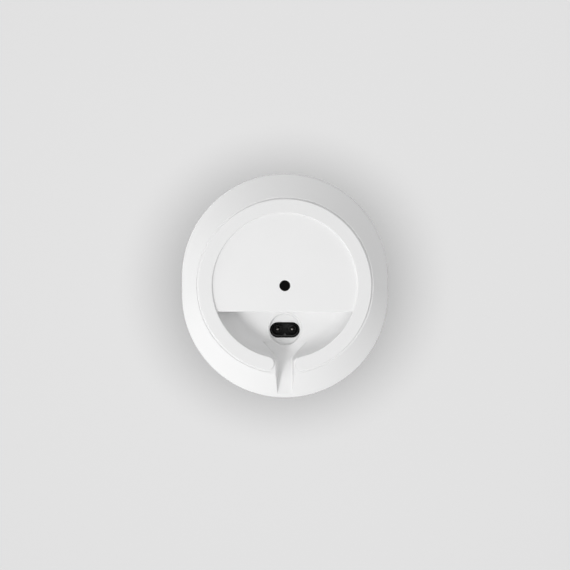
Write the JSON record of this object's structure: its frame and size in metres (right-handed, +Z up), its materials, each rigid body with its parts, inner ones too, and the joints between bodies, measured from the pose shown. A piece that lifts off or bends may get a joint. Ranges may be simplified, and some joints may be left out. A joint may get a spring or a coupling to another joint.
{
  "type": "smart speaker",
  "caption": "Desktop smart speaker with a perforated wrap, touch top, rear controls, a foot ring, and an underside recess that holds the power inlet and leads its cable out to the rear.",
  "frame": {"origin": "centre of the footprint, on the surface the speaker stands on", "axes": "+Z up, -Y towards the front, +Y towards the rear controls and cable exit, +X to the right seen from the front towards the rear"},
  "size_m": [0.12, 0.1306, 0.1825],
  "materials": {
    "shell": "fine matte moulded white",
    "grille": "perforated, fine matte white",
    "silicone": "matte off-white silicone",
    "black_plastic": "matte black",
    "contact": "nickel plate",
    "insert": "blackened",
    "cloth": "dark open weave",
    "window": "clear light guide",
    "cabinet": "black, moulded",
    "seal": "soft black foam rubber",
    "board": "green solder mask",
    "chip": "black epoxy",
    "aluminium": "brushed",
    "steel": "zinc plate",
    "basket": "black powder coat",
    "magnet": "sintered ferrite, grey-black",
    "cone": "pressed fibre, dark grey",
    "winding": "enamelled copper",
    "spider": "treated cloth, tan",
    "dome": "coated silk",
    "can": "tinned sheet",
    "film": "amber film",
    "capacitor": "shrink sleeve",
    "ferrite": "ferrite and tape, yellow"
  },
  "bodies": {
    "speaker": {"base_shell": "shell", "foot_ring": "silicone", "inlet_body": "black_plastic", "inlet_pins": "contact", "mount_insert": "insert", "grille_wrap": "grille", "acoustic_cloth": "cloth", "rear_spine": "shell", "top_cap": "shell", "touch_plate": "shell", "status_window": "window", "touch_board": "board", "microphones": "can", "pairing_switch": "black_plastic", "mic_switch": "chip", "usb_port": "steel", "rear_io_board": "board", "cabinet_front": "cabinet", "cabinet_rear": "cabinet", "cabinet_gasket": "seal", "woofer_gasket": "seal", "woofer_basket": "basket", "woofer_surround": "seal", "woofer_spider": "spider", "woofer_top_plate": "steel", "woofer_magnet": "magnet", "woofer_yoke": "steel", "tweeter_horn_left": "cabinet", "tweeter_horn_right": "cabinet", "tweeter_motor_left": "steel", "tweeter_motor_right": "steel", "psu_board": "board", "psu_transformer": "ferrite", "psu_capacitors": "capacitor", "psu_choke": "winding", "main_board": "board", "main_chips": "chip", "radio_shield": "can", "heat_spreader": "aluminium", "antenna_left": "film", "antenna_right": "film", "top_ribbon": "film", "power_lead": "film", "case_screws": "steel", "woofer_screws": "steel", "tweeter_screws": "steel", "board_screws": "steel"},
    "woofer_motion": {"woofer_cone": "cone", "woofer_dust_cap": "cone", "woofer_coil": "winding"},
    "tweeter_left_motion": {"tweeter_dome_left": "dome"},
    "tweeter_right_motion": {"tweeter_dome_right": "dome"},
    "pairing_push": {"pairing_button": "shell"},
    "microphone_slide": {"mic_slider": "shell"}
  },
  "joints": [
    {"name": "woofer_travel", "type": "slide", "parent": "speaker", "child": "woofer_motion", "axis": [0, -1, 0], "range_m": [-0.003, 0.003], "stiffness_N_per_m": 1500, "deforming": ["woofer_surround", "woofer_spider"]},
    {"name": "tweeter_left_travel", "type": "slide", "parent": "speaker", "child": "tweeter_left_motion", "axis": [-0.6428, -0.766, 0], "range_m": [-0.0003, 0.0003], "stiffness_N_per_m": 1000},
    {"name": "tweeter_right_travel", "type": "slide", "parent": "speaker", "child": "tweeter_right_motion", "axis": [0.6428, -0.766, 0], "range_m": [-0.0003, 0.0003], "stiffness_N_per_m": 1000},
    {"name": "pairing_button_press", "type": "slide", "parent": "speaker", "child": "pairing_push", "axis": [0, -1, 0], "range_m": [0, 0.0008], "stiffness_N_per_m": 600},
    {"name": "microphone_switch_slide", "type": "slide", "parent": "speaker", "child": "microphone_slide", "axis": [1, 0, 0], "range_m": [0, 0.0025]}
  ]
}
